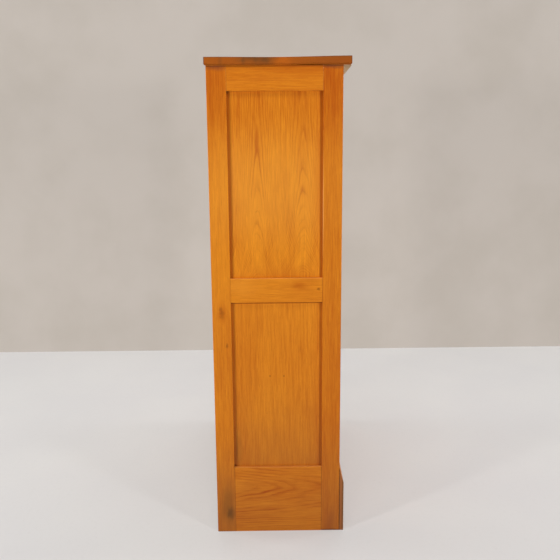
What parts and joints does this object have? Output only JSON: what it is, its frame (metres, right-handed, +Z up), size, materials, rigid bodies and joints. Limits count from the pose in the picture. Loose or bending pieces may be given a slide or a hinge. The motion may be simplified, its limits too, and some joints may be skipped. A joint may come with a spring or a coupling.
{
  "type": "tambour cabinet",
  "caption": "Tall free-standing oak cabinet with frame-and-panel sides, a tambour shutter that draws down to open, a lock and inner shelves.",
  "frame": {"origin": "on the floor under the middle of the top board", "axes": "+Z up, front faces -Y, width along X; the pictured side is the one at -X"},
  "size_m": [0.976, 0.451, 1.588],
  "materials": {
    "oak": "honey-orange lacquered oak, satin",
    "oak_panel": "honey-orange lacquered oak, satin",
    "oak_slat": "honey-orange lacquered oak, satin",
    "inner_wood": "plain planed wood, unlacquered",
    "plywood": "thin plywood, unlacquered",
    "canvas": "coarse linen canvas",
    "brass": "aged brass",
    "steel": "dull steel"
  },
  "bodies": {
    "carcass": {"left_front_stile": "oak", "left_rear_stile": "oak", "left_top_rail": "oak", "left_mid_rail": "oak", "left_bottom_rail": "oak", "left_upper_panel": "oak_panel", "left_lower_panel": "oak_panel", "right_front_stile": "oak", "right_rear_stile": "oak", "right_top_rail": "oak", "right_mid_rail": "oak", "right_bottom_rail": "oak", "right_upper_panel": "oak_panel", "right_lower_panel": "oak_panel", "top_board": "oak", "cornice_moulding": "oak", "head_rail": "oak", "threshold_rail": "oak", "plinth_board": "oak", "plinth_blocks": "inner_wood", "top_blocks": "inner_wood", "rear_top_rail": "inner_wood", "rear_bottom_rail": "inner_wood", "back_muntin": "inner_wood", "back_panel_left": "plywood", "back_panel_right": "plywood", "bottom_board": "inner_wood", "bottom_cleats": "inner_wood", "false_back": "plywood", "shelf_racks": "inner_wood", "shelf_bearers": "inner_wood", "shelf_1": "inner_wood", "shelf_2": "inner_wood", "shelf_3": "inner_wood", "shelf_4": "inner_wood", "strike_plate": "brass"},
    "tambour_grip": {"grip_rail": "oak", "grip_slats": "oak_slat", "grip_canvas": "canvas", "cup_pulls": "brass", "lock_case": "steel", "escutcheon": "brass"},
    "tambour_group_1": {"group_1_slats": "oak_slat", "group_1_canvas": "canvas"},
    "tambour_group_2": {"group_2_slats": "oak_slat", "group_2_canvas": "canvas"},
    "tambour_group_3": {"group_3_slats": "oak_slat", "group_3_canvas": "canvas"},
    "tambour_group_4": {"group_4_slats": "oak_slat", "group_4_canvas": "canvas"},
    "tambour_group_5": {"group_5_slats": "oak_slat", "group_5_canvas": "canvas"},
    "tambour_group_6": {"group_6_slats": "oak_slat", "group_6_canvas": "canvas"},
    "hook": {"lock_hook": "steel"},
    "lock_key": {"key": "steel"}
  },
  "joints": [
    {"name": "tambour_slide", "type": "slide", "parent": "carcass", "child": "tambour_grip", "axis": [0, 0, -1], "range_m": [0, 1.1895]},
    {"name": "group_1_slide", "type": "slide", "parent": "carcass", "child": "tambour_group_1", "axis": [0, 0, -1], "range_m": [0, 1.1001], "deforming": ["group_1_slats", "group_1_canvas"]},
    {"name": "group_2_slide", "type": "slide", "parent": "carcass", "child": "tambour_group_2", "axis": [0, 0, -1], "range_m": [0, 0.9001], "deforming": ["group_2_slats", "group_2_canvas"]},
    {"name": "group_3_slide", "type": "slide", "parent": "carcass", "child": "tambour_group_3", "axis": [0, 0, -1], "range_m": [0, 0.7001], "deforming": ["group_3_slats", "group_3_canvas"]},
    {"name": "group_4_slide", "type": "slide", "parent": "carcass", "child": "tambour_group_4", "axis": [0, 0, -1], "range_m": [0, 0.5001], "deforming": ["group_4_slats", "group_4_canvas"]},
    {"name": "group_5_slide", "type": "slide", "parent": "carcass", "child": "tambour_group_5", "axis": [0, 0, -1], "range_m": [0, 0.3001], "deforming": ["group_5_slats", "group_5_canvas"]},
    {"name": "group_6_slide", "type": "slide", "parent": "carcass", "child": "tambour_group_6", "axis": [0, 0, -1], "range_m": [0, 0.1001], "deforming": ["group_6_slats", "group_6_canvas"]},
    {"name": "key_turn", "type": "hinge", "parent": "tambour_grip", "child": "lock_key", "pos_m": [0, -0.209, 1.453], "axis": [0, -1, 0], "range_deg": [0, 180]},
    {"name": "hook_swing", "type": "hinge", "parent": "tambour_grip", "child": "hook", "pos_m": [-0.016, -0.173, 1.466], "axis": [0, -1, 0], "range_deg": [0, 90]}
  ],
  "couplings": [
    {"joint": "group_1_slide", "follows": "tambour_slide", "ratio": 0.92442},
    {"joint": "group_2_slide", "follows": "tambour_slide", "ratio": 0.75628},
    {"joint": "group_3_slide", "follows": "tambour_slide", "ratio": 0.58815},
    {"joint": "group_4_slide", "follows": "tambour_slide", "ratio": 0.42001},
    {"joint": "group_5_slide", "follows": "tambour_slide", "ratio": 0.25187},
    {"joint": "group_6_slide", "follows": "tambour_slide", "ratio": 0.083733},
    {"joint": "hook_swing", "follows": "key_turn", "ratio": 0.5}
  ]
}
